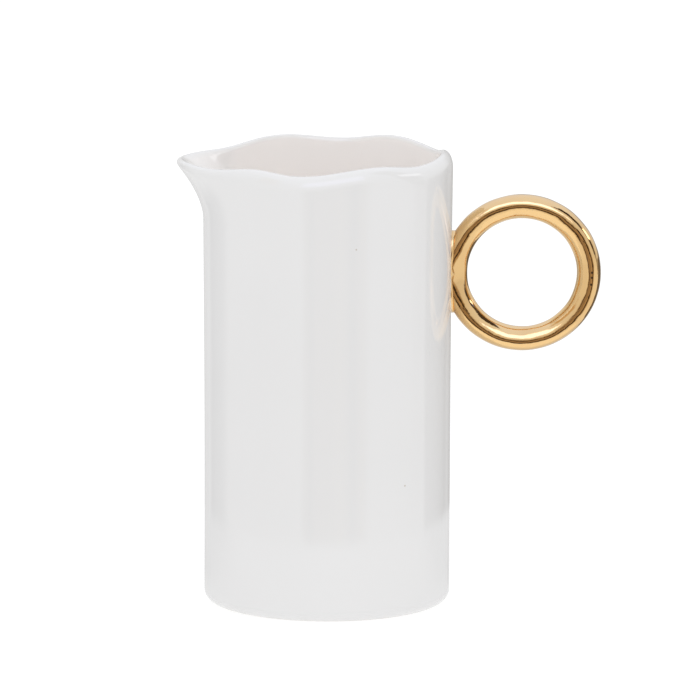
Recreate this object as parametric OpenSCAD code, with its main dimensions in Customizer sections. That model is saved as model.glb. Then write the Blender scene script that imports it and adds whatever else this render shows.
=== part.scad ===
// Porcelain cream jug with a wavy rim, a pulled spout and a gilded ring handle.
// Origin: centre of the foot, on the surface that the jug stands on.
// +Z is up, +X points to the handle, -X to the spout.

/* [Body] */
// Outside radius of the wall at the foot
body_r = 34; // [28:0.5:42]
// How far the wall leans out by the time it reaches the rim
rim_flare = 0.6; // [0:0.1:2]
// Thickness of the wall
wall = 3.5; // [3:0.1:4.5]
// Thickness of the floor
floor_t = 3.5; // [2.5:0.1:6]
// Radius of the rounded edge at the bottom of the wall
base_round = 3.1; // [1:0.1:6]
// Radius of the rounded corner between the floor and the inside of the wall
floor_round = 5; // [2:0.5:10]

/* [Foot] */
// Width of the unglazed ring that the jug stands on
foot_w = 3; // [2:0.1:6]
// Depth of the recess inside the foot
foot_recess = 1.5; // [0.5:0.1:3]

/* [Rim] */
// Mean height of the rim above the table
rim_h = 125; // [118:0.5:140]
// How far the outer rounding of the lip reaches inwards
lip_w = 3; // [2:0.1:3.3]
// How far the outer rounding of the lip reaches down
lip_h = 4.8; // [2:0.1:6]

/* [Spout] */
// How far the spout stands out at its tip
spout_reach = 8.3; // [3:0.1:12]
// Angle from the tip to where each side of the spout has died away
spout_spread = 60; // [35:1:80]
// How pointed the spout is seen from above
spout_point = 4.8; // [2:0.1:7]
// Height at which the wall starts to lean out into the spout
spout_root = 107.5; // [106:0.5:116]
// How hollow the underside of the spout is
spout_curve = 1.7; // [1:0.1:3]
// How far the outer rounding of the lip reaches inwards at the tip
tip_w = 2.1; // [1.5:0.1:3]
// How far the outer rounding of the lip reaches down at the tip
tip_h = 2.1; // [1.5:0.1:4]

/* [Handle] */
// Radius of the ring along the middle of its tube
ring_r = 18.5; // [14:0.5:24]
// Diameter of the ring's tube
tube_d = 6.7; // [5:0.1:9]
// Distance from the jug's axis to the middle of the ring
ring_x = 53.7; // [52:0.1:55]
// Height of the middle of the ring
ring_z = 92.2; // [88:0.1:93]

/* [Collar] */
// Width of the collar of slip that joins the ring to the wall
collar_w = 7.6; // [7:0.1:10]
// Height of the collar
collar_h = 23.2; // [21:0.1:24]
// Distance from the jug's axis to the face of the collar
collar_x = 35.1; // [34.8:0.1:36]

/* [Hidden] */
$fn = 240;

// Crests and troughs of the rim: [angle from the handle, height over rim_h]
rim_wave = [
    [0, 1.2], [22, -0.3], [56, 1.3], [84, -0.2], [114, 1.0], [155, -1.0],
    [186, -1.3], [202, -1.9], [233, -0.3], [255, -1.3], [296, 1.0], [320, 0], [360, 1.2]
];

seam_z = 105;                 // the turned wall ends here and the formed rim starts
seam_step = 0.03;             // the formed rim stands this far inside the turned wall's faces
wall_steps = 6;               // straight pieces that follow the wall's slight lean
round_steps = 6;              // straight pieces in each rounded corner
inner_lip_w = 0.5;            // inner rounding of the lip, across
inner_lip_h = 0.9;            // inner rounding of the lip, down
inner_root = spout_root + 3;  // height at which the inside starts to lean out
floor_z = foot_recess + floor_t;
foot_out_r = body_r - base_round;
foot_in_r = foot_out_r - foot_w;
floor_r = body_r - wall - floor_round;

rim_columns = 96;             // points round the rim
flare_steps = 8;              // rows between the seam and the lip
lip_steps = 6;                // rows in the lip's outer rounding
inner_lip_steps = 3;          // rows in the lip's inner rounding

collar_root_x = body_r - 4;   // the collar's blank starts inside the wall, and is cut back

// Outside radius of the plain wall at height z
function wall_r(z) = body_r + rim_flare * pow(z / rim_h, 3);

// Outside and inside radius of the formed rim at height z, before the spout leans it out
function rim_out_r(z) = wall_r(z) - seam_step;
function rim_in_r(z) = wall_r(z) - wall + seam_step;

// Wave between crest or trough i and the next, eased by a cosine
function wave_between(a, i) =
    let (from = rim_wave[i], to = rim_wave[i + 1])
    from[1] + (to[1] - from[1]) * (1 - cos(180 * (a - from[0]) / (to[0] - from[0]))) / 2;

// Height of the rim at angle a
function rim_z(a) =
    rim_h + [for (i = [0:len(rim_wave) - 2])
        if (a >= rim_wave[i][0] && a < rim_wave[i + 1][0]) wave_between(a, i)][0];

// Share of the spout at angle a: 1 at its tip, 0 away from it
function spout_share(a) =
    abs(a - 180) < spout_spread ? pow(cos(90 * (a - 180) / spout_spread), spout_point) : 0;

// Share of the lean at height z, from 0 at root to 1 at top
function lean(z, root, top) = z > root ? pow((z - root) / (top - root), spout_curve) : 0;

// Points of the rim's section at angle a, as [radius, height]: up the outside,
// over the lip and down the inside
function rim_section(a) =
    let (
        share = spout_share(a),
        top = rim_z(a),
        out_w = lip_w + (tip_w - lip_w) * share,
        out_h = lip_h + (tip_h - lip_h) * share,
        reach = spout_reach * share,
        inner_reach = reach + wall - 2 * seam_step - out_w - inner_lip_w,
        lip_z = top - out_h,
        inner_z = top - inner_lip_h
    )
    concat(
        [for (k = [0:flare_steps])
            let (z = seam_z + (lip_z - seam_z) * k / flare_steps)
            [rim_out_r(z) + reach * lean(z, spout_root, top), z]],
        [for (k = [1:lip_steps])
            let (b = 90 * k / lip_steps, z = lip_z + out_h * sin(b))
            [rim_out_r(z) + reach * lean(z, spout_root, top) - out_w * (1 - cos(b)), z]],
        [for (k = [1:inner_lip_steps])
            let (b = 90 - 90 * k / inner_lip_steps, z = inner_z + inner_lip_h * sin(b))
            [rim_in_r(z) + inner_reach * lean(z, inner_root, top)
                + inner_lip_w * (1 - cos(b)), z]],
        [for (k = [1:flare_steps])
            let (z = inner_z + (seam_z - inner_z) * k / flare_steps)
            [rim_in_r(z) + inner_reach * lean(z, inner_root, top), z]]
    );

// Quarter circle from angle a0 to a1 about [cx, cy]
function quarter(cx, cy, r, a0, a1) =
    [for (k = [0:round_steps])
        let (a = a0 + (a1 - a0) * k / round_steps)
        [cx + r * cos(a), cy + r * sin(a)]];

// Points up the outside of the turned wall, from its rounded bottom edge to the seam
function outer_wall_points() = concat(
    quarter(foot_out_r, base_round, base_round, -90, 0),
    [for (k = [1:wall_steps])
        let (z = base_round + (seam_z - base_round) * k / wall_steps)
        [wall_r(z), z]]
);

// Points down the inside of the turned wall to the middle of the floor
function inner_wall_points() = concat(
    [for (k = [wall_steps:-1:1])
        let (z = floor_z + floor_round + (seam_z - floor_z - floor_round) * k / wall_steps)
        [wall_r(z) - wall, z]],
    quarter(floor_r, floor_z + floor_round, floor_round, 0, -90),
    [[0, floor_z]]
);

// Foot, floor and wall up to the seam, as one turned shape
module turned_wall() {
    rotate_extrude()
        polygon(concat(
            [[0, foot_recess], [foot_in_r - foot_recess, foot_recess], [foot_in_r, 0]],
            outer_wall_points(),
            inner_wall_points()
        ));
}

// Wavy rim and spout above the seam, as rows of triangles
module formed_rim() {
    rows = len(rim_section(0));
    polyhedron(
        points = [for (j = [0:rim_columns - 1])
            let (a = 360 * j / rim_columns)
            for (p = rim_section(a)) [p[0] * cos(a), p[0] * sin(a), p[1]]],
        faces = [for (j = [0:rim_columns - 1], i = [0:rows - 1])
            let (
                here = j * rows,
                next = ((j + 1) % rim_columns) * rows,
                up = (i + 1) % rows
            )
            for (f = [[here + i, here + up, next + up], [here + i, next + up, next + i]]) f]
    );
}

// Everything inside the outer wall, which trims what is joined onto it
module wall_core() {
    rotate_extrude()
        polygon(concat([[0, 0]], outer_wall_points(), [[0, seam_z]]));
}

// The whole ring before it is cut to the wall
module ring() {
    translate([ring_x, 0, ring_z])
        rotate([90, 0, 0])
            rotate_extrude()
                translate([ring_r, 0])
                    circle(d = tube_d);
}

// Upright strip with round ends, from the inside of the wall to the collar's face
module collar_blank() {
    straight = collar_h - collar_w;
    translate([collar_root_x, 0, ring_z])
        rotate([90, 0, 90])
            linear_extrude(collar_x - collar_root_x)
                union() {
                    square([collar_w, straight], center = true);
                    for (side = [-1, 1])
                        translate([0, side * straight / 2])
                            circle(d = collar_w);
                }
}

// Cast porcelain body: foot, floor, wall, rim and spout in one piece of clay
module jug_body() {
    color("white")
        union() {
            turned_wall();
            formed_rim();
        }
}

// Ring handle, made on its own and cut to the curve of the wall
module ring_handle() {
    color("goldenrod")
        difference() {
            ring();
            wall_core();
        }
}

// Collar of slip that beds the ring against the wall
module luting_collar() {
    color("gold")
        difference() {
            collar_blank();
            wall_core();
            ring();
        }
}

jug_body();
ring_handle();
luting_collar();
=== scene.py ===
"""Porcelain cream jug with a wavy rim, a pulled spout and a gilded ring handle."""
import math

import bpy
import numpy as np
from bpy.props import FloatProperty, FloatVectorProperty, PointerProperty
from bpy.types import Operator, Panel, PropertyGroup
from mathutils import Matrix, Vector


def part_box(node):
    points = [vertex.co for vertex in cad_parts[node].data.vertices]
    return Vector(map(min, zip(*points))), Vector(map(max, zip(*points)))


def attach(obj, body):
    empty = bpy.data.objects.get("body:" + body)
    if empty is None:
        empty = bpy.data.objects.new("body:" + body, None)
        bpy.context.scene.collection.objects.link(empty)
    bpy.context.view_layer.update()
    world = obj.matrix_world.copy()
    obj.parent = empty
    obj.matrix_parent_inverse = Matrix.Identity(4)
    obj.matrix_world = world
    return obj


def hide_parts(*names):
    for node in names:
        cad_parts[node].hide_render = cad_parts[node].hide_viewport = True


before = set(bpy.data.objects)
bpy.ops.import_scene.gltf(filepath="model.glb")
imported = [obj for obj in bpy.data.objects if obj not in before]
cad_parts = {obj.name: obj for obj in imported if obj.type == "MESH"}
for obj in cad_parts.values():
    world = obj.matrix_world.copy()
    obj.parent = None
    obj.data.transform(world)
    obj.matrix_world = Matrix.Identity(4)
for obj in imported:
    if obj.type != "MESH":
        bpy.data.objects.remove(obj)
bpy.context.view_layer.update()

bl_info = {
    "name": "Porcelain Cream Jug",
    "version": (1, 0, 0),
    "blender": (4, 5, 0),
    "location": "3D View > Sidebar > Jug",
    "description": "Builds a glazed porcelain cream jug with a gilded ring handle",
    "category": "Object",
}

BODY_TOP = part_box("jug_body")[1][2]
RING_LOW, RING_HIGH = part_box("ring_handle")

MM = 0.001

# Crests and troughs of the rim: angle from the handle in degrees, height over the rim's level in mm.
RIM_WAVE = np.array([
    (0, 1.2), (22, -0.3), (56, 1.3), (84, -0.2), (114, 1.0), (155, -1.0),
    (186, -1.3), (202, -1.9), (233, -0.3), (255, -1.3), (296, 1.0), (320, 0.0), (360, 1.2),
])
RIM_LEVEL = BODY_TOP - RIM_WAVE[:, 1].max() * MM

RING_OUTER = (RING_HIGH[2] - RING_LOW[2]) / 2
TUBE_R = (RING_HIGH[1] - RING_LOW[1]) / 2
RING_R = RING_OUTER - TUBE_R
RING_X = RING_HIGH[0] - RING_OUTER
RING_Z = (RING_HIGH[2] + RING_LOW[2]) / 2

# Columns of points round the body, and points along and round the ring and the collar.
BODY_COLUMNS = 384
RING_GRID = (360, 80)
COLLAR_GRID = (240, 22)

# Unevenness of the cast wall: waves round the body, a start, radians per metre of height, a share.
WALL_WAVES = ((2, 0.8, 18, 1.0), (3, 2.1, -31, 0.7), (5, 0.0, 47, 0.5), (8, 1.3, -66, 0.4))
EVEN_BELOW = 0.01   # height in metres under which the unevenness dies away towards the foot

# How much of the painted inside light the spout loses, and how far the spout has to stand out for that.
SPOUT_INSIDE_LIGHT_LOSS = 0.45
SPOUT_INSIDE_LIGHT_REACH = 0.001


# ---------------------------------------------------------------- sizes and colours


class JugBodySizes(PropertyGroup):
    """Sizes of the cast body."""

    foot_r: FloatProperty(
        name="Wall radius at the foot", description="Outside radius of the wall at the foot",
        default=0.034, subtype="DISTANCE", unit="LENGTH")
    rim_flare: FloatProperty(
        name="Rim flare", description="How far the wall leans out by the time it reaches the rim",
        default=0.0006, subtype="DISTANCE", unit="LENGTH", precision=4)
    wall: FloatProperty(
        name="Wall", description="Thickness of the wall",
        default=0.0035, subtype="DISTANCE", unit="LENGTH", precision=4)
    floor_t: FloatProperty(
        name="Floor", description="Thickness of the floor",
        default=0.0035, subtype="DISTANCE", unit="LENGTH", precision=4)
    base_round: FloatProperty(
        name="Bottom edge", description="Radius of the rounded edge at the bottom of the wall",
        default=0.0031, subtype="DISTANCE", unit="LENGTH", precision=4)
    floor_round: FloatProperty(
        name="Inside corner", description="Radius of the corner between the floor and the wall",
        default=0.005, subtype="DISTANCE", unit="LENGTH", precision=4)
    foot_w: FloatProperty(
        name="Foot ring", description="Width of the unglazed ring that the jug stands on",
        default=0.003, subtype="DISTANCE", unit="LENGTH", precision=4)
    foot_recess: FloatProperty(
        name="Foot recess", description="Depth of the recess inside the foot",
        default=0.0015, subtype="DISTANCE", unit="LENGTH", precision=4)
    lip_w: FloatProperty(
        name="Lip rounding, across", description="How far the lip's outer rounding reaches inwards",
        default=0.0027, subtype="DISTANCE", unit="LENGTH", precision=4)
    lip_h: FloatProperty(
        name="Lip rounding, down", description="How far the lip's outer rounding reaches down",
        default=0.0048, subtype="DISTANCE", unit="LENGTH", precision=4)
    inner_lip_w: FloatProperty(
        name="Inner lip rounding, across", description="Width of the lip's inner rounding",
        default=0.0008, subtype="DISTANCE", unit="LENGTH", precision=4)
    inner_lip_h: FloatProperty(
        name="Inner lip rounding, down", description="Height of the lip's inner rounding",
        default=0.0014, subtype="DISTANCE", unit="LENGTH", precision=4)
    unevenness: FloatProperty(
        name="Unevenness", description="How far the cast wall wanders from a true turned shape",
        default=0.00003, subtype="DISTANCE", unit="LENGTH", precision=5)


class JugSpoutSizes(PropertyGroup):
    """Sizes of the spout."""

    reach: FloatProperty(
        name="Reach", description="How far the spout stands out at its tip",
        default=0.0083, subtype="DISTANCE", unit="LENGTH", precision=4)
    spread: FloatProperty(
        name="Spread", description="Angle from the tip to where each side has died away",
        default=math.radians(60), subtype="ANGLE", unit="ROTATION")
    point: FloatProperty(
        name="Point", description="How pointed the spout is seen from above", default=4.8)
    root: FloatProperty(
        name="Root", description="Height at which the wall starts to lean out",
        default=0.1075, subtype="DISTANCE", unit="LENGTH", precision=4)
    inner_rise: FloatProperty(
        name="Inner rise", description="How much higher the inside starts to lean out",
        default=0.003, subtype="DISTANCE", unit="LENGTH", precision=4)
    curve: FloatProperty(
        name="Curve", description="How hollow the spout's underside is", default=1.7)
    tip_w: FloatProperty(
        name="Tip rounding, across", description="How far the lip's rounding reaches in at the tip",
        default=0.0024, subtype="DISTANCE", unit="LENGTH", precision=4)
    tip_h: FloatProperty(
        name="Tip rounding, down", description="How far the lip's rounding reaches down at the tip",
        default=0.0021, subtype="DISTANCE", unit="LENGTH", precision=4)


class JugHandleSizes(PropertyGroup):
    """Sizes of the ring handle and the slip collar that joins it to the wall."""

    ring_r: FloatProperty(
        name="Ring radius", description="Radius of the ring along the middle of its tube",
        default=RING_R, subtype="DISTANCE", unit="LENGTH", precision=4)
    tube_r: FloatProperty(
        name="Tube radius", description="Radius of the ring's tube",
        default=TUBE_R, subtype="DISTANCE", unit="LENGTH", precision=4)
    fullness: FloatProperty(
        name="Fullness", description="How far the tube is fullest outside its middle, over its radius",
        default=0.16)
    joint_fullness: FloatProperty(
        name="Fullness at the joint", description="The same beside the wall, where slip fills it",
        default=0.45)
    joint_flatness: FloatProperty(
        name="Flatness at the joint", description="Power that squares the tube beside the wall",
        default=2.6)
    joint_spread: FloatProperty(
        name="Joint spread", description="Angle round the ring over which the tube changes",
        default=math.radians(30), subtype="ANGLE", unit="ROTATION")
    centre: FloatVectorProperty(
        name="Centre", description="Middle of the ring",
        default=(RING_X, 0.0, RING_Z), subtype="TRANSLATION", unit="LENGTH", precision=4)
    hand_work: FloatProperty(
        name="Hand work", description="Height of each of the waves that hand finishing leaves",
        default=0.00001, subtype="DISTANCE", unit="LENGTH", precision=5)
    collar_side: FloatProperty(
        name="Collar at the sides", description="How far the slip spreads on the wall at the sides",
        default=0.0006, subtype="DISTANCE", unit="LENGTH", precision=4)
    collar_end: FloatProperty(
        name="Collar at the ends", description="How far the slip spreads on the wall at the ends",
        default=0.0016, subtype="DISTANCE", unit="LENGTH", precision=4)
    collar_h: FloatProperty(
        name="Collar height", description="How far the slip climbs up the ring's tube",
        default=0.0009, subtype="DISTANCE", unit="LENGTH", precision=4)
    collar_groove: FloatProperty(
        name="Collar groove", description="Depth of the groove between the slip and the tube",
        default=0.0004, subtype="DISTANCE", unit="LENGTH", precision=4)
    bare_slip: FloatProperty(
        name="White margin", description="Width left without gold next to the wall",
        default=0.00015, subtype="DISTANCE", unit="LENGTH", precision=4)


class JugFinish(PropertyGroup):
    """Colours of the glaze, the bare clay and the gold."""

    glaze: FloatVectorProperty(
        name="Glazed porcelain", description="Colour of the white porcelain under its glaze",
        default=(0.773, 0.770, 0.768), subtype="COLOR", min=0.0, max=1.0)
    # Painted light: the inside gets a lighter colour than the outside, standing for light that reaches
    # into the jug.
    painted_inside_light: FloatVectorProperty(
        name="Lining", description="Colour of the whiter glaze inside",
        default=(0.97, 0.944, 0.925), subtype="COLOR", min=0.0, max=1.0)
    biscuit: FloatVectorProperty(
        name="Bare porcelain", description="Colour of the unglazed foot ring",
        default=(0.70, 0.665, 0.61), subtype="COLOR", min=0.0, max=1.0)
    speck: FloatVectorProperty(
        name="Iron speck", description="Colour of the rare specks under the glaze",
        default=(0.42, 0.33, 0.24), subtype="COLOR", min=0.0, max=1.0)
    gold: FloatVectorProperty(
        name="Gold lustre", description="Colour of the burnished gold",
        default=(0.86, 0.565, 0.235), subtype="COLOR", min=0.0, max=1.0)
    thin_gold: FloatVectorProperty(
        name="Thin gold", description="Colour of the gold where its film is thin",
        default=(0.80, 0.50, 0.20), subtype="COLOR", min=0.0, max=1.0)
    dark_mark: FloatVectorProperty(
        name="Pin mark", description="Colour of the small dark marks in the gold",
        default=(0.10, 0.065, 0.03), subtype="COLOR", min=0.0, max=1.0)


class JugStudio(PropertyGroup):
    """Camera and light of the studio."""

    distance: FloatProperty(
        name="Camera distance", description="Distance from the camera to the point it looks at",
        default=2.5, subtype="DISTANCE", unit="LENGTH")
    elevation: FloatProperty(
        name="Camera elevation", description="How far the camera looks down",
        default=math.radians(10.2), subtype="ANGLE", unit="ROTATION")
    roll: FloatProperty(
        name="Camera roll", description="How far the camera leans to one side",
        default=math.radians(0.2), subtype="ANGLE", unit="ROTATION")
    lens: FloatProperty(
        name="Lens", description="Focal length in millimetres", default=464.3)
    aim: FloatVectorProperty(
        name="Aim", description="Point that the camera looks at",
        default=(0.00625, 0.0, 0.0702), subtype="TRANSLATION", unit="LENGTH", precision=4)
    sky: FloatProperty(
        name="Sky", description="Strength of the studio's light, reflections and backdrop", default=1.0)


# ---------------------------------------------------------------- surfaces


def new_piece(name, points, faces, material, replaced):
    """Makes a smooth mesh object from points in metres, and ties it to the frame."""
    mesh = bpy.data.meshes.new(name)
    mesh.from_pydata(points.tolist(), [], faces)
    mesh.validate()
    mesh.shade_smooth()
    mesh.materials.append(material)
    piece = bpy.data.objects.new(name, mesh)
    bpy.context.scene.collection.objects.link(piece)
    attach(piece, "root")
    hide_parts(replaced)
    return mesh


def turned_faces(rows, columns):
    """Faces of rows of points round an axis, with a pole before the first row and after the last.

    Point 0 is the first pole, then come the rows one after another, and the last point is the
    other pole. Rows run so that the surface faces outwards when they start under the foot.
    """
    here = np.arange(columns)
    after = (here + 1) % columns
    low = 1 + np.arange(rows - 1)[:, None] * columns
    quads = np.stack([low + here, low + after, low + columns + after, low + columns + here], -1)
    first = np.stack([np.zeros(columns, int), 1 + after, 1 + here], -1)
    start = 1 + (rows - 1) * columns
    last = np.stack([np.full(columns, start + columns), start + here, start + after], -1)
    return quads.reshape(-1, 4).tolist() + first.tolist() + last.tolist()


def tube_faces(rings, sides):
    """Faces of a closed tube: rings of points that each close, and whose last joins the first."""
    ring = np.arange(rings)[:, None] * sides
    onward = ((np.arange(rings)[:, None] + 1) % rings) * sides
    here = np.arange(sides)
    after = (here + 1) % sides
    quads = np.stack([ring + here, ring + after, onward + after, onward + here], -1)
    return quads.reshape(-1, 4).tolist()


def quarter(centre_r, centre_z, radius, start, end, steps):
    """Radius and height along a quarter circle, angles in degrees."""
    a = np.radians(np.linspace(start, end, steps))
    return centre_r + radius * np.cos(a), centre_z + radius * np.sin(a)


def wall_radius(z, sizes):
    """Outside radius of the plain wall: it leans out with the cube of its height."""
    return sizes.foot_r + sizes.rim_flare * (z / RIM_LEVEL) ** 3


def rim_height(angle):
    """Height of the rim: crests and troughs joined by half waves of a cosine."""
    start, level = RIM_WAVE[:, 0], RIM_WAVE[:, 1]
    i = np.clip(np.searchsorted(start, angle, side="right") - 1, 0, len(start) - 2)
    along = (angle - start[i]) / (start[i + 1] - start[i])
    eased = (1 - np.cos(math.pi * along)) / 2
    return RIM_LEVEL + (level[i] + (level[i + 1] - level[i]) * eased) * MM


def spout_share(angle, spout):
    """1 at the spout's tip, falling to 0 at its spread by a power of a cosine."""
    away = np.abs(np.radians(angle - 180)) / spout.spread
    return np.where(away < 1, np.cos(np.minimum(away, 1) * math.pi / 2), 0) ** spout.point


def lean(z, root, top, spout):
    """0 below root, then a power of the height, to 1 at the top."""
    return np.clip((z - root) / (top - root), 0, None) ** spout.curve


def body_points(sizes, spout, columns):
    """The body as points[row, column], up the outside, over the lip and down to the floor.

    Each column is one angle round the axis, and each row one place along the section: the foot and
    floor are circles, the wall leans out with the cube of its height, the spout adds its reach times
    its share at that angle times the lean at that height, and the lip is two quarter ellipses.
    Also gives the share of the painted inside light at each point, a lighter colour that stands for
    light reaching the inside. It rises from 0 to 1 over the last rows of the lip and is less where the
    spout stands out. Also gives the two poles, in the middle of the recess and of the floor.
    """
    angle = np.arange(columns) * 360 / columns
    share = spout_share(angle, spout)
    top = rim_height(angle)
    out_w = sizes.lip_w + (spout.tip_w - sizes.lip_w) * share
    out_h = sizes.lip_h + (spout.tip_h - sizes.lip_h) * share
    reach = spout.reach * share
    inner_reach = reach + sizes.wall - out_w - sizes.inner_lip_w
    inner_root = spout.root + spout.inner_rise

    foot_out = sizes.foot_r - sizes.base_round
    foot_in = foot_out - sizes.foot_w
    floor_z = sizes.foot_recess + sizes.floor_t
    edge = 0.0002
    slope_top = foot_in - sizes.foot_recess
    plain_top = spout.root - 0.004
    first_r, last_r = 0.004, 0.003

    def outer(z):
        return wall_radius(z, sizes) + reach * lean(z, spout.root, top, spout)

    def inner(z):
        return wall_radius(z, sizes) - sizes.wall + inner_reach * lean(z, inner_root, top, spout)

    rows = []

    def add(r, z):
        rows.append((np.broadcast_to(r, angle.shape), np.broadcast_to(z, angle.shape)))

    for r in np.linspace(first_r, slope_top - edge, 8):
        add(r, sizes.foot_recess)
    add(slope_top, sizes.foot_recess - edge / 4)
    add(slope_top + edge, sizes.foot_recess - edge)
    add(foot_in - edge, edge)
    add(foot_in, edge / 4)
    add(foot_in + edge, 0.0)
    add(foot_out - edge, 0.0)
    for r, z in zip(*quarter(foot_out, sizes.base_round, sizes.base_round, -90, 0, 14)):
        add(r, z)
    lip_z = top - out_h
    for z in np.linspace(sizes.base_round, plain_top, 40)[1:]:
        add(outer(z), z)
    for share_up in np.linspace(0, 1, 26)[1:]:
        z = plain_top + (lip_z - plain_top) * share_up
        add(outer(z), z)
    for b in np.radians(np.linspace(0, 90, 20))[1:]:
        z = lip_z + out_h * math.sin(b)
        add(outer(z) - out_w * (1 - math.cos(b)), z)
    for b in np.radians(np.linspace(90, 0, 9))[1:]:
        z = top - sizes.inner_lip_h * (1 - math.sin(b))
        add(inner(z) + sizes.inner_lip_w * (1 - math.cos(b)), z)
    inner_z = top - sizes.inner_lip_h
    lip_rows = len(rows)
    for share_down in np.linspace(0, 1, 26)[1:]:
        z = inner_z + (spout.root - inner_z) * share_down
        add(inner(z), z)
    wall_foot = floor_z + sizes.floor_round
    for z in np.linspace(spout.root, wall_foot, 40)[1:]:
        add(inner(z), z)
    corner_r = sizes.foot_r - sizes.wall - sizes.floor_round
    for r, z in zip(*quarter(corner_r, wall_foot, sizes.floor_round, 0, -90, 12)):
        add(r, z)
    for r in np.linspace(corner_r, last_r, 9)[1:]:
        add(r, floor_z)

    radius = np.array([row[0] for row in rows])
    height = np.array([row[1] for row in rows])
    turn = np.radians(angle)
    wander = sum(
        share_of * np.sin(times * turn + start + rise * height)
        for times, start, rise, share_of in WALL_WAVES
    )
    radius = radius + sizes.unevenness * wander * np.clip(height / EVEN_BELOW, 0, 1)
    points = np.stack([radius * np.cos(turn), radius * np.sin(turn), height], -1)
    # Share of the painted inside light: it rises over the last rows of the lip, and the spout loses some
    # of it.
    stands_out = reach * lean(height, spout.root, top, spout)
    out_of_spout = 1 - SPOUT_INSIDE_LIGHT_LOSS * np.clip(stands_out / SPOUT_INSIDE_LIGHT_REACH, 0, 1)
    past_lip = np.clip((np.arange(len(rows)) - lip_rows + 7) / 6, 0, 1)
    painted_inside_light = past_lip[:, None] * out_of_spout
    return points, painted_inside_light, (0.0, 0.0, sizes.foot_recess), (0.0, 0.0, floor_z)


# Small dark marks on the front of the ring: angles in degrees, the place across the tube over its
# radius, and a mark's radius with and without its soft edge.
DARK_MARKS = (1.5, -2.7, -8.5)
DARK_MARK_ACROSS = 0.24
DARK_MARK_R, DARK_MARK_CORE_R = 0.00045, 0.0002

# Waves that hand finishing leaves on the ring: cycles per metre along X, Y and Z, and a start.
HAND_WAVES = np.array([
    (118, 61, -74, 0.3), (-52, 133, 96, 1.9), (88, -101, 127, 4.1),
    (141, 37, 58, 2.6), (-97, -84, 112, 5.2), (43, 152, -69, 0.9),
])


def egg_width(across, angle, handle):
    """Half width of the ring's tube at a distance across from its middle, over the tube's radius.

    A half circle's height, times one plus the fullness times the distance, over one plus half the
    square of the fullness, which keeps the greatest width near 1. The fullness, and the circle's
    power of 2, ease by half a wave of a cosine to their own values beside the wall.
    """
    from_joint = np.clip(np.abs(math.pi - angle % (2 * math.pi)) / handle.joint_spread, 0, 1)
    beside = (1 + np.cos(math.pi * from_joint)) / 2
    fullness = handle.fullness + (handle.joint_fullness - handle.fullness) * beside
    power = 2 + (handle.joint_flatness - 2) * beside
    egg = (1 + fullness * across) / (1 + fullness ** 2 / 2)
    return np.clip(1 - np.abs(across) ** power, 0, 1) ** (1 / power) * egg


def ring_points(handle, sizes, rings, sides):
    """The ring handle as points[place round the ring, place round the tube].

    An egg, fat end outwards, is carried round a circle of the ring's radius. Low waves make it
    hand-finished, and what would pass into the jug's wall is flattened onto the wall's face.
    """
    a = np.arange(rings)[:, None] * 2 * math.pi / rings
    b = -np.arange(sides)[None, :] * 2 * math.pi / sides
    side = np.sign(np.sin(b)) * egg_width(np.cos(b), a, handle)

    def place(tube):
        out = handle.ring_r + tube * np.cos(b)
        return out * np.cos(a), tube * side, out * np.sin(a)

    plain = np.stack(place(handle.tube_r), -1)
    waves = np.sin(2 * math.pi * plain @ HAND_WAVES[:, :3].T + HAND_WAVES[:, 3]).sum(-1)
    x, y, z = place(handle.tube_r + handle.hand_work * waves)
    x = x + handle.centre[0]
    z = z + handle.centre[2]
    wall = wall_radius(z, sizes)
    from_axis = np.hypot(x, y)
    push = np.where(from_axis < wall, wall / from_axis, 1.0)
    return np.stack([x * push, y * push, z], -1)


def ring_reach(turn, lift, handle, sizes):
    """How far from the joint's middle the ring's tube stands, in each direction turn on the wall.

    At that distance, a point lift above the wall lies on the tube. Found for all directions at once
    by halving the interval 24 times.
    """
    low = np.zeros_like(turn)
    high = np.full_like(turn, handle.ring_r)
    for _ in range(24):
        middle = (low + high) / 2
        x, y, z = on_wall(turn, middle, lift, handle, sizes)
        across = (np.hypot(x - handle.centre[0], z - handle.centre[2]) - handle.ring_r) / handle.tube_r
        angle = np.arctan2(z - handle.centre[2], x - handle.centre[0])
        inside = np.abs(y) < handle.tube_r * egg_width(across, angle, handle)
        low = np.where(inside, middle, low)
        high = np.where(inside, high, middle)
    return low


def on_wall(turn, away, lift, handle, sizes):
    """Point at a distance from the joint's middle, in direction turn, lift above the wall's face."""
    y = away * np.sin(turn)
    z = handle.centre[2] + away * np.cos(turn)
    x = np.sqrt(np.maximum(wall_radius(z, sizes) ** 2 - y ** 2, 0)) + lift
    return x, y, z


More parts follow.
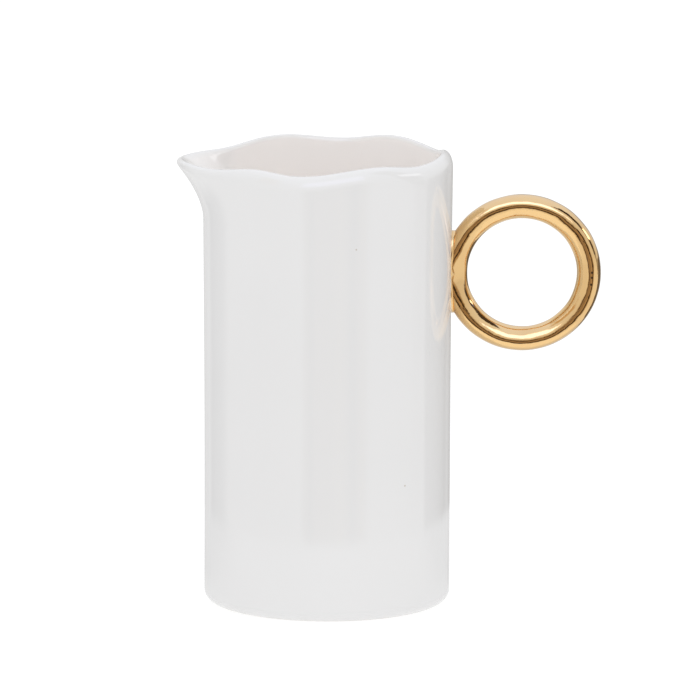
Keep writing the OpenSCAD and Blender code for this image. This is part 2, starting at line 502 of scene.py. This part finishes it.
def collar_points(handle, sizes, places, sides):
    """The slip collar as points[place round the joint, place round its section].

    The section is a quadratic Bezier curve from the wall to the tube, which closes behind through
    both. At the sides it is a ramp. Towards the ends it becomes a bead: it leaves the wall steeply
    and dips to the tube, with the deepest groove halfway between the sides and the ends.
    """
    turn = np.arange(places) * 2 * math.pi / places
    toward_end = np.cos(turn) ** 2
    spread = handle.collar_side + (handle.collar_end - handle.collar_side) * toward_end
    sponged = 0.05   # how far the sponge makes the collar's height vary, over its height
    bead = handle.collar_h * (1 + sponged * np.sin(3 * turn + 0.7) + sponged * np.sin(7 * turn))
    groove = np.sin(2 * turn) ** 2 * handle.collar_groove
    climb = bead - groove
    corner_away = ring_reach(turn, 0.0, handle, sizes)
    tube_away = ring_reach(turn, climb, handle, sizes)
    into_wall, into_tube, hidden = 0.00002, 0.00005, 0.0006
    foot_away = corner_away + spread
    foot = np.stack(on_wall(turn, foot_away, -into_wall, handle, sizes), -1)
    head = np.stack(on_wall(turn, tube_away - into_tube, climb, handle, sizes), -1)
    fold_away = foot_away - (foot_away - tube_away) / 2 * (1 - toward_end)
    fold_lift = climb / 2 + (bead + groove - climb / 2) * toward_end
    above_foot = np.stack(on_wall(turn, fold_away, fold_lift, handle, sizes), -1)
    back = np.stack(on_wall(turn, corner_away - hidden, 0.0, handle, sizes), -1)
    t = np.linspace(0, 1, sides - 2)[None, :, None]
    front = (1 - t) ** 2 * foot[:, None] + 2 * t * (1 - t) * above_foot[:, None] + t ** 2 * head[:, None]
    behind_head = head + 0.5 * (back - head)
    return np.concatenate([front, behind_head[:, None], back[:, None]], axis=1)


# ---------------------------------------------------------------- shader building


def link(tree, *pairs):
    """Links each pair of output and input sockets."""
    for out, into in pairs:
        tree.links.new(out, into)


def node(tree, kind, **values):
    """Adds a node. A name that is a property sets it, and any other sets the input so called."""
    made = tree.nodes.new(kind)
    for name, value in values.items():
        if hasattr(made, name):
            setattr(made, name, value)
        else:
            made.inputs[name.replace("_", " ")].default_value = value
    return made


def math_node(tree, operation, a, b=None, c=None):
    """Adds a Math node whose inputs are sockets or numbers, and gives its output."""
    made = tree.nodes.new("ShaderNodeMath")
    made.operation = operation
    for place, value in enumerate((a, b, c)):
        if isinstance(value, bpy.types.NodeSocket):
            tree.links.new(value, made.inputs[place])
        elif value is not None:
            made.inputs[place].default_value = value
    return made.outputs[0]


def smooth_range(tree, value, low, high, to_low=0.0, to_high=1.0):
    """Maps a value from low..high onto to_low..to_high with soft ends, and gives the output."""
    made = tree.nodes.new("ShaderNodeMapRange")
    made.interpolation_type = "SMOOTHSTEP"
    for name, number in (("From Min", low), ("From Max", high), ("To Min", to_low), ("To Max", to_high)):
        if isinstance(number, bpy.types.NodeSocket):
            tree.links.new(number, made.inputs[name])
        else:
            made.inputs[name].default_value = number
    tree.links.new(value, made.inputs["Value"])
    return made.outputs["Result"]


def mix_colour(tree, factor, a, b):
    """Mixes two colours, each a socket or a value, by a factor's socket, and gives the output."""
    made = tree.nodes.new("ShaderNodeMix")
    made.data_type = "RGBA"
    tree.links.new(factor, made.inputs["Factor"])
    for name, value in (("A", a), ("B", b)):
        socket = [s for s in made.inputs if s.name == name and s.type == "RGBA"][0]
        if isinstance(value, bpy.types.NodeSocket):
            tree.links.new(value, socket)
        else:
            socket.default_value = (*value, 1.0)
    return [s for s in made.outputs if s.type == "RGBA"][0]


def noise(tree, vector, scale, detail=2.0, roughness=0.5):
    """Adds a Noise Texture on the given vector, and gives its value."""
    made = node(tree, "ShaderNodeTexNoise", Scale=scale, Detail=detail, Roughness=roughness)
    tree.links.new(vector, made.inputs["Vector"])
    return made.outputs[0]


def new_group(name, inputs, outputs):
    """Makes a shader node group from lists of (name, socket type, default), and gives its parts."""
    tree = bpy.data.node_groups.new(name, "ShaderNodeTree")
    for label, kind, default in inputs:
        socket = tree.interface.new_socket(label, in_out="INPUT", socket_type=kind)
        if default is not None:
            socket.default_value = default
    for label, kind in outputs:
        tree.interface.new_socket(label, in_out="OUTPUT", socket_type=kind)
    return tree, tree.nodes.new("NodeGroupInput"), tree.nodes.new("NodeGroupOutput")


def place_group(tree, group, **values):
    """Puts a node group into a material with its own values. Sockets are linked, others set."""
    made = tree.nodes.new("ShaderNodeGroup")
    made.node_tree = group
    for name, value in values.items():
        socket = made.inputs[name.replace("_", " ")]
        if isinstance(value, bpy.types.NodeSocket):
            tree.links.new(value, socket)
        else:
            socket.default_value = value
    return made


def fired_skin_group():
    """Uneven surface of something fired: a slow swell, a fine ripple and a change of gloss."""
    name = "Fired Skin"
    if name in bpy.data.node_groups:
        return bpy.data.node_groups[name]
    tree, inside, outside = new_group(
        name,
        [("Vector", "NodeSocketVector", None), ("Swell Scale", "NodeSocketFloat", 60.0),
         ("Ripple Scale", "NodeSocketFloat", 420.0), ("Ripple Share", "NodeSocketFloat", 0.2),
         ("Gloss Low", "NodeSocketFloat", 0.05), ("Gloss High", "NodeSocketFloat", 0.12)],
        [("Height", "NodeSocketFloat"), ("Roughness", "NodeSocketFloat")])
    vector = inside.outputs["Vector"]
    swell = node(tree, "ShaderNodeTexNoise", Detail=1.5, Roughness=0.45)
    ripple = node(tree, "ShaderNodeTexNoise", Detail=2.0, Roughness=0.5)
    smudge = node(tree, "ShaderNodeTexNoise", Scale=35.0, Detail=3.0, Roughness=0.6)
    link(tree, (vector, swell.inputs["Vector"]), (vector, ripple.inputs["Vector"]),
         (vector, smudge.inputs["Vector"]), (inside.outputs["Swell Scale"], swell.inputs["Scale"]),
         (inside.outputs["Ripple Scale"], ripple.inputs["Scale"]))
    fine = math_node(tree, "MULTIPLY", ripple.outputs[0], inside.outputs["Ripple Share"])
    height = math_node(tree, "ADD", swell.outputs[0], fine)
    gloss = smooth_range(tree, smudge.outputs[0], 0.3, 0.7,
                         inside.outputs["Gloss Low"], inside.outputs["Gloss High"])
    link(tree, (height, outside.inputs["Height"]), (gloss, outside.inputs["Roughness"]))
    return tree


def distance_from_axis(tree, vector):
    """Distance of the shaded point from the jug's axis."""
    flat = node(tree, "ShaderNodeVectorMath", operation="MULTIPLY")
    flat.inputs[1].default_value = (1.0, 1.0, 0.0)
    length = node(tree, "ShaderNodeVectorMath", operation="LENGTH")
    link(tree, (vector, flat.inputs[0]), (flat.outputs[0], length.inputs[0]))
    return length.outputs["Value"]


def new_material(name):
    """Makes a material, and gives it with its tree, its Principled node and Object coordinates."""
    material = bpy.data.materials.new(name)
    material.use_nodes = True
    tree = material.node_tree
    shader = tree.nodes["Principled BSDF"]
    place = tree.nodes.new("ShaderNodeTexCoord").outputs["Object"]
    return material, tree, shader, place


GLAZE_IOR = 1.52

# The glaze is wiped off the foot: below these heights, outside these distances from the axis.
BARE_FROM_Z, BARE_TO_Z = 0.0006, 0.0003
BARE_FROM_R, BARE_TO_R = 0.0272, 0.0276
BARE_ROUGHNESS = 0.75

# Specks: cells per metre, the share of cells without one, their size in cells, and their strength.
SPECK_CELLS = 125.0
SPECKLESS = 0.64
SPECK_R, SPECK_CORE_R = 0.045, 0.02
SPECK_STRENGTH = 0.6

# Heights of the relief that bump gives, in metres.
GLAZE_SWELL = 0.00001
BISCUIT_GRIT = 0.00005
GOLD_SWELL = 0.00022
SLIP_SWELL = 0.00006


def glazed_porcelain(finish):
    """White porcelain under a clear gloss glaze, with rare specks and a bare foot ring."""
    material, tree, shader, place = new_material("glazed_porcelain")
    drawn = node(tree, "ShaderNodeMapping")
    drawn.inputs["Scale"].default_value = (1.0, 1.0, 0.3)
    link(tree, (place, drawn.inputs["Vector"]))
    skin = place_group(tree, fired_skin_group(), Vector=drawn.outputs[0], Swell_Scale=60.0,
                       Ripple_Scale=380.0, Ripple_Share=0.1, Gloss_Low=0.02, Gloss_High=0.05)
    apart = node(tree, "ShaderNodeSeparateXYZ")
    link(tree, (place, apart.inputs[0]))
    height = apart.outputs["Z"]
    rough_edge = math_node(tree, "MULTIPLY", noise(tree, place, scale=900.0, detail=3.0), 0.0004)
    low = smooth_range(tree, math_node(tree, "ADD", height, rough_edge), BARE_FROM_Z, BARE_TO_Z)
    outer = smooth_range(tree, distance_from_axis(tree, place), BARE_FROM_R, BARE_TO_R)
    bare = math_node(tree, "MULTIPLY", low, outer)

    cloud = noise(tree, place, scale=18.0)
    tone = smooth_range(tree, cloud, 0.35, 0.65, to_low=0.985, to_high=1.0)
    # Painted light: the inside is mixed towards a lighter colour by the share of painted inside light.
    inside = node(tree, "ShaderNodeAttribute", attribute_name="painted_inside_light").outputs["Fac"]
    toned = node(tree, "ShaderNodeVectorMath", operation="SCALE")
    link(tree, (mix_colour(tree, inside, finish.glaze, finish.painted_inside_light), toned.inputs[0]),
         (tone, toned.inputs["Scale"]))
    cells = node(tree, "ShaderNodeTexVoronoi", Scale=SPECK_CELLS, Randomness=1.0)
    link(tree, (place, cells.inputs["Vector"]))
    pick = node(tree, "ShaderNodeSeparateColor")
    link(tree, (cells.outputs["Color"], pick.inputs[0]))
    chosen = math_node(tree, "GREATER_THAN", pick.outputs[0], SPECKLESS)
    dot = smooth_range(tree, cells.outputs["Distance"], SPECK_R, SPECK_CORE_R)
    speck = math_node(tree, "MULTIPLY", math_node(tree, "MULTIPLY", dot, chosen), SPECK_STRENGTH)
    glaze = mix_colour(tree, speck, toned.outputs[0], finish.speck)
    sand = noise(tree, place, scale=1400.0, detail=3.0)
    grain = smooth_range(tree, sand, 0.3, 0.7, to_low=0.9, to_high=1.0)
    biscuit = node(tree, "ShaderNodeVectorMath", operation="SCALE")
    biscuit.inputs[0].default_value = tuple(finish.biscuit)
    link(tree, (grain, biscuit.inputs["Scale"]))
    link(tree, (mix_colour(tree, bare, glaze, biscuit.outputs[0]), shader.inputs["Base Color"]))

    rough_foot = math_node(tree, "MULTIPLY", bare, BARE_ROUGHNESS)
    rough = math_node(tree, "MAXIMUM", skin.outputs["Roughness"], rough_foot)
    link(tree, (rough, shader.inputs["Roughness"]))
    swell = node(tree, "ShaderNodeBump", Strength=1.0, Distance=GLAZE_SWELL)
    link(tree, (skin.outputs["Height"], swell.inputs["Height"]))
    grit = node(tree, "ShaderNodeBump", Strength=1.0, Distance=BISCUIT_GRIT)
    grains = math_node(tree, "MULTIPLY", bare, noise(tree, place, scale=2600.0))
    link(tree, (grains, grit.inputs["Height"]), (swell.outputs[0], grit.inputs["Normal"]),
         (grit.outputs[0], shader.inputs["Normal"]))
    shader.inputs["IOR"].default_value = GLAZE_IOR
    return material


def gold_lustre(name, finish, sizes, handle, swell, gloss):
    """Burnished gold film over glazed porcelain, which stops just short of the wall."""
    material, tree, shader, place = new_material(name)
    skin = place_group(tree, fired_skin_group(), Vector=place, Swell_Scale=190.0, Ripple_Scale=620.0,
                       Ripple_Share=0.16, Gloss_Low=gloss[0], Gloss_High=gloss[1])
    margin = wall_radius(handle.centre[2], sizes) + handle.bare_slip
    film_edge = 0.00012
    wobble = math_node(tree, "MULTIPLY", noise(tree, place, scale=260.0), 0.0003)
    off_wall = math_node(tree, "ADD", distance_from_axis(tree, place), wobble)
    gilded = smooth_range(tree, off_wall, margin, margin + film_edge)
    film = noise(tree, place, scale=75.0, detail=3.0, roughness=0.55)
    thin = smooth_range(tree, film, 0.42, 0.7, to_high=0.6)
    gold = mix_colour(tree, thin, finish.gold, finish.thin_gold)
    for angle in DARK_MARKS:
        a = math.radians(angle)
        out = handle.ring_r + DARK_MARK_ACROSS * handle.tube_r
        depth = handle.tube_r * egg_width(DARK_MARK_ACROSS, a, handle)
        middle = Vector((out * math.cos(a), -depth, out * math.sin(a))) + Vector(handle.centre)
        away = node(tree, "ShaderNodeVectorMath", operation="DISTANCE")
        away.inputs[1].default_value = middle
        link(tree, (place, away.inputs[0]))
        mark = smooth_range(tree, away.outputs["Value"], DARK_MARK_R, DARK_MARK_CORE_R)
        gold = mix_colour(tree, mark, gold, finish.dark_mark)
    link(tree, (mix_colour(tree, gilded, finish.glaze, gold), shader.inputs["Base Color"]),
         (gilded, shader.inputs["Metallic"]))

    strokes = node(tree, "ShaderNodeMapping")
    strokes.inputs["Scale"].default_value = (900.0, 160.0, 900.0)
    brushed = node(tree, "ShaderNodeTexNoise", Scale=1.0, Detail=3.0, Roughness=0.6)
    link(tree, (place, strokes.inputs["Vector"]), (strokes.outputs[0], brushed.inputs["Vector"]))
    streaky = smooth_range(tree, brushed.outputs[0], 0.45, 0.75, to_high=0.05)
    link(tree, (math_node(tree, "ADD", skin.outputs["Roughness"], streaky), shader.inputs["Roughness"]))
    bump = node(tree, "ShaderNodeBump", Strength=1.0, Distance=swell)
    link(tree, (skin.outputs["Height"], bump.inputs["Height"]),
         (bump.outputs[0], shader.inputs["Normal"]))
    shader.inputs["IOR"].default_value = GLAZE_IOR
    shader.inputs["Coat Weight"].default_value = 0.8
    shader.inputs["Coat Roughness"].default_value = 0.03
    shader.inputs["Coat IOR"].default_value = 1.7
    return material


# ---------------------------------------------------------------- operators


class JUG_OT_body(Operator):
    """Build the glazed porcelain body: foot, floor, wall, wavy rim and spout"""

    bl_idname = "jug.body"
    bl_label = "Porcelain Body"

    def execute(self, context):
        scene = context.scene
        sizes, spout = scene.jug_body, scene.jug_spout
        points, painted_inside_light, under, floor = body_points(sizes, spout, BODY_COLUMNS)
        faces = turned_faces(len(points), BODY_COLUMNS)
        flat = np.vstack([[under], points.reshape(-1, 3), [floor]])
        mesh = new_piece("jug_body_glazed", flat, faces, glazed_porcelain(scene.jug_finish),
                         "jug_body")
        # Share of the painted inside light at each point, with the poles: none under the foot, all on
        # the floor inside.
        inside_light_share = np.concatenate([[0], painted_inside_light.ravel(), [1]])
        mesh.attributes.new("painted_inside_light", "FLOAT", "POINT").data.foreach_set("value", inside_light_share)
        return {"FINISHED"}


class JUG_OT_ring_handle(Operator):
    """Build the gilded ring handle, flattened where it meets the wall"""

    bl_idname = "jug.ring_handle"
    bl_label = "Ring Handle"

    def execute(self, context):
        scene = context.scene
        handle, sizes = scene.jug_handle, scene.jug_body
        points = ring_points(handle, sizes, *RING_GRID)
        faces = tube_faces(*points.shape[:2])
        gold = gold_lustre("gold_lustre", scene.jug_finish, sizes, handle, GOLD_SWELL, (0.03, 0.07))
        new_piece("ring_handle_gilded", points.reshape(-1, 3), faces, gold, "ring_handle")
        return {"FINISHED"}


class JUG_OT_luting_collar(Operator):
    """Build the collar of slip that fills the corner between the ring and the wall"""

    bl_idname = "jug.luting_collar"
    bl_label = "Luting Collar"

    def execute(self, context):
        scene = context.scene
        handle, sizes = scene.jug_handle, scene.jug_body
        points = collar_points(handle, sizes, *COLLAR_GRID)
        faces = tube_faces(*points.shape[:2])
        gold = gold_lustre("gold_on_slip", scene.jug_finish, sizes, handle, SLIP_SWELL, (0.08, 0.16))
        new_piece("luting_collar_gilded", points.reshape(-1, 3), faces, gold,
                  "luting_collar")
        return {"FINISHED"}


# Colour of the studio by elevation in degrees, from the floor's to the ceiling's: what the gloss
# reflects, and the light that falls on the matt surfaces.
MIRRORED_BANDS = (
    (-60, (1.0, 1.0, 1.0)), (-5, (0.9, 0.89, 0.88)), (5, (0.78, 0.77, 0.76)),
    (35, (0.86, 0.9, 1.0)), (55, (0.92, 1.0, 1.24)),
)
LIGHT_BANDS = ((0, (0.68, 0.68, 0.68)), (50, (1.02, 1.02, 1.03)), (80, (1.75, 1.75, 1.76)))
FRONTAL = 0.2   # how much stronger the light from in front is than from the sides

# What stands in the studio: azimuth and elevation in degrees (0 in front, 90 beside the handle),
# half width and half height, lean, softness, colour. Later ones stand before earlier ones.
STUDIO_CARDS = (
    ((7, -11), (30, 18), 0, 4, (0.34, 0.25, 0.17)),        # the dark end of the room
    ((3, -21), (21, 4), 0, 1, (0.05, 0.035, 0.02)),        # a bench in the dark
    ((12, -1), (17, 3), 0, 1, (0.06, 0.04, 0.025)),        # a shelf
    ((24, -7), (4, 15), 0, 1, (0.05, 0.035, 0.02)),        # a stand
    ((-15, -10), (2.5, 13), 0, 1, (0.06, 0.04, 0.025)),    # a second stand
    ((11, -9), (2, 8), 0, 1, (0.55, 0.41, 0.26)),          # a lit strip of the room
    ((34, -10), (2, 14), 0, 1, (0.50, 0.38, 0.24)),        # another
    ((2, 34), (29, 12), 0, 3, (1.9, 1.95, 2.7)),           # the large softbox
    ((-56, 32), (11, 16), 0, 5, (0.64, 0.48, 0.31)),       # a wooden stand on the left
    ((-52, -4), (22, 14), 0, 8, (0.84, 0.82, 0.80)),       # a grey wall on the left
    ((-126, -2), (16, 22), 0, 6, (0.42, 0.42, 0.42)),      # behind, on the left
    ((-170, -2), (26, 22), 0, 6, (0.72, 0.72, 0.72)),      # far behind, on the left
    ((128, -19), (24, 21), 0, 2, (0.16, 0.14, 0.12)),      # behind, on the right
    ((168, -6), (20, 24), 0, 6, (0.45, 0.44, 0.43)),       # far behind, on the right
    ((91, 0), (9, 10), 0.5, 2, (0.34, 0.31, 0.28)),        # the foot of a leaning flag
    ((91, 20), (13, 12), 0.5, 2, (0.09, 0.065, 0.045)),    # the flag, on the right
    ((91, 43), (19, 12), 0.5, 2, (0.07, 0.05, 0.035)),     # its wider top
    ((90, 23), (13, 4), 0, 1, (2.4, 2.4, 2.5)),            # the window
)


def card(tree, azimuth, elevation, place, size, leaning, soft):
    """Mask of a rectangular card in the studio: 1 on it, with a soft edge. Angles in degrees.

    It leans to the left by so many degrees for each degree above the horizon.
    """
    upright = math_node(tree, "MULTIPLY_ADD", elevation, leaning, azimuth)
    aside = math_node(tree, "ABSOLUTE", math_node(tree, "SUBTRACT", upright, place[0]))
    above = math_node(tree, "ABSOLUTE", math_node(tree, "SUBTRACT", elevation, place[1]))
    across = smooth_range(tree, aside, size[0] + soft, size[0] - soft)
    up = smooth_range(tree, above, size[1] + soft, size[1] - soft)
    return math_node(tree, "MULTIPLY", across, up)


def by_elevation(tree, elevation, bands):
    """Colour that changes with the elevation in degrees, through the given bands."""
    colour = tree.nodes.new("ShaderNodeValToRGB")
    ramp = colour.color_ramp
    for place, shade in bands:
        stop = ramp.elements.new(place / 180 + 0.5)
        stop.color = (*shade, 1)
    ramp.elements.remove(ramp.elements[0])
    ramp.elements.remove(ramp.elements[-1])
    link(tree, (math_node(tree, "MULTIPLY_ADD", elevation, 1 / 180, 0.5), colour.inputs[0]))
    return colour.outputs[0]


def studio_world(scene, studio):
    """Soft light from all round, and what the glaze and the gold reflect: walls, cards and boxes.

    The camera sees plain white behind the object.
    """
    world = bpy.data.worlds.new("studio")
    scene.world = world
    world.use_nodes = True
    tree = world.node_tree
    background = tree.nodes["Background"]
    toward = tree.nodes.new("ShaderNodeTexCoord").outputs["Generated"]
    apart = node(tree, "ShaderNodeSeparateXYZ")
    link(tree, (toward, apart.inputs[0]))
    x, y, z = apart.outputs
    back = math_node(tree, "MULTIPLY", y, -1.0)
    azimuth = math_node(tree, "DEGREES", math_node(tree, "ARCTAN2", x, back))
    elevation = math_node(tree, "DEGREES", math_node(tree, "ARCSINE", z))
    mirrored = by_elevation(tree, elevation, MIRRORED_BANDS)
    for place, size, leaning, soft, shade in STUDIO_CARDS:
        mask = card(tree, azimuth, elevation, place, size, leaning, soft)
        mirrored = mix_colour(tree, mask, mirrored, shade)
    ray = tree.nodes.new("ShaderNodeLightPath").outputs
    frontal = node(tree, "ShaderNodeVectorMath", operation="SCALE")
    link(tree, (by_elevation(tree, elevation, LIGHT_BANDS), frontal.inputs[0]),
         (math_node(tree, "MULTIPLY_ADD", back, FRONTAL, 1.0), frontal.inputs["Scale"]))
    light = mix_colour(tree, ray["Is Glossy Ray"], frontal.outputs[0], mirrored)
    seen = mix_colour(tree, ray["Is Camera Ray"], light, (1.0, 1.0, 1.0))
    link(tree, (seen, background.inputs["Color"]))
    background.inputs["Strength"].default_value = studio.sky


# Half the side of the floor and its height in metres, and the strength of its glow.
FLOOR_HALF = 4.0
FLOOR_Z = -0.00005
FLOOR_GLOW = 0.82

# The round table in reflections: distances from the axis between which it ends, how much dimmer it is
# at the back, and the places along Y between which that comes in.
TABLE_R, TABLE_END_R = 0.13, 0.155
BACK_DIMMING = 0.33
DIMMED_FROM_Y, DIMMED_TO_Y = -0.03, 0.04


def studio_floor():
    """A plain pale floor that fills the view, and is clear from below.

    Past the edge of a round table it is clear to reflections, which then see the studio's walls, and
    behind the jug its reflection is dimmer.
    """
    mesh = bpy.data.meshes.new("studio_floor")
    corners = [(-1, -1), (1, -1), (1, 1), (-1, 1)]
    points = [(x * FLOOR_HALF, y * FLOOR_HALF, FLOOR_Z) for x, y in corners]
    mesh.from_pydata(points, [], [(0, 1, 2, 3)])
    material, tree, shader, place = new_material("pale_paper")
    shader.inputs["Base Color"].default_value = (0.25, 0.25, 0.25, 1)
    shader.inputs["Roughness"].default_value = 0.9
    shader.inputs["Specular IOR Level"].default_value = 0.0
    shader.inputs["Emission Color"].default_value = (1, 1, 1, 1)
    apart = node(tree, "ShaderNodeSeparateXYZ")
    link(tree, (place, apart.inputs[0]))
    off_table = smooth_range(tree, distance_from_axis(tree, place), TABLE_R, TABLE_END_R)
    reflected = tree.nodes.new("ShaderNodeLightPath").outputs["Is Glossy Ray"]
    unseen = math_node(tree, "MULTIPLY", off_table, reflected)
    behind = smooth_range(tree, apart.outputs["Y"], DIMMED_FROM_Y, DIMMED_TO_Y)
    seen_behind = math_node(tree, "MULTIPLY", behind, reflected)
    dimmed = math_node(tree, "MULTIPLY", seen_behind, BACK_DIMMING)
    link(tree, (math_node(tree, "SUBTRACT", FLOOR_GLOW, dimmed), shader.inputs["Emission Strength"]))
    below = tree.nodes.new("ShaderNodeNewGeometry").outputs["Backfacing"]
    clear = tree.nodes.new("ShaderNodeBsdfTransparent")
    mix = tree.nodes.new("ShaderNodeMixShader")
    output = tree.nodes["Material Output"]
    link(tree, (math_node(tree, "MAXIMUM", below, unseen), mix.inputs[0]),
         (shader.outputs[0], mix.inputs[1]), (clear.outputs[0], mix.inputs[2]),
         (mix.outputs[0], output.inputs["Surface"]))
    mesh.materials.append(material)
    floor = bpy.data.objects.new("studio_floor", mesh)
    bpy.context.scene.collection.objects.link(floor)


def studio_camera(scene, studio):
    """A long lens a little above the jug, leaned by the roll."""
    data = bpy.data.cameras.new("camera")
    data.lens = studio.lens
    data.sensor_width = 36.0
    data.clip_end = 50.0
    camera = bpy.data.objects.new("camera", data)
    scene.collection.objects.link(camera)
    down = studio.elevation
    back = Vector((0.0, -math.cos(down), math.sin(down)))
    facing = (-back).to_track_quat("-Z", "Y").to_matrix().to_4x4()
    lean_over = Matrix.Rotation(studio.roll, 4, "Z")
    place = Matrix.Translation(Vector(studio.aim) + back * studio.distance)
    camera.matrix_world = place @ facing @ lean_over
    scene.camera = camera


class JUG_OT_stage(Operator):
    """Set up the pale floor, the soft studio light and the camera"""

    bl_idname = "jug.stage"
    bl_label = "Studio"

    def execute(self, context):
        scene = context.scene
        studio_world(scene, scene.jug_studio)
        studio_floor()
        studio_camera(scene, scene.jug_studio)
        scene.view_settings.view_transform = "Standard"
        scene.cycles.max_bounces = 16
        scene.cycles.diffuse_bounces = 12
        return {"FINISHED"}


class JUG_PT_panel(Panel):
    """Lists the jug's sizes, colours and pieces"""

    bl_idname = "JUG_PT_panel"
    bl_label = "Porcelain Cream Jug"
    bl_space_type = "VIEW_3D"
    bl_region_type = "UI"
    bl_category = "Jug"

    def draw(self, context):
        scene = context.scene
        for title, name in GROUPS:
            box = self.layout.box()
            box.label(text=title)
            group = getattr(scene, name)
            for prop in group.bl_rna.properties:
                if prop.identifier not in ("name", "rna_type"):
                    box.prop(group, prop.identifier)
        for operator in OPERATORS:
            self.layout.operator(operator.bl_idname)


GROUPS = (
    ("Body", "jug_body"), ("Spout", "jug_spout"), ("Handle", "jug_handle"),
    ("Finish", "jug_finish"), ("Studio", "jug_studio"),
)
GROUP_TYPES = (JugBodySizes, JugSpoutSizes, JugHandleSizes, JugFinish, JugStudio)
OPERATORS = (JUG_OT_stage, JUG_OT_body, JUG_OT_ring_handle, JUG_OT_luting_collar)


def register():
    for kind in (*GROUP_TYPES, *OPERATORS, JUG_PT_panel):
        bpy.utils.register_class(kind)
    for (_, name), kind in zip(GROUPS, GROUP_TYPES):
        setattr(bpy.types.Scene, name, PointerProperty(type=kind))


def unregister():
    for _, name in GROUPS:
        delattr(bpy.types.Scene, name)
    for kind in reversed((*GROUP_TYPES, *OPERATORS, JUG_PT_panel)):
        bpy.utils.unregister_class(kind)


def main():
    register()
    bpy.ops.jug.stage()
    bpy.ops.jug.body()
    bpy.ops.jug.ring_handle()
    bpy.ops.jug.luting_collar()


if __name__ == "__main__":
    main()
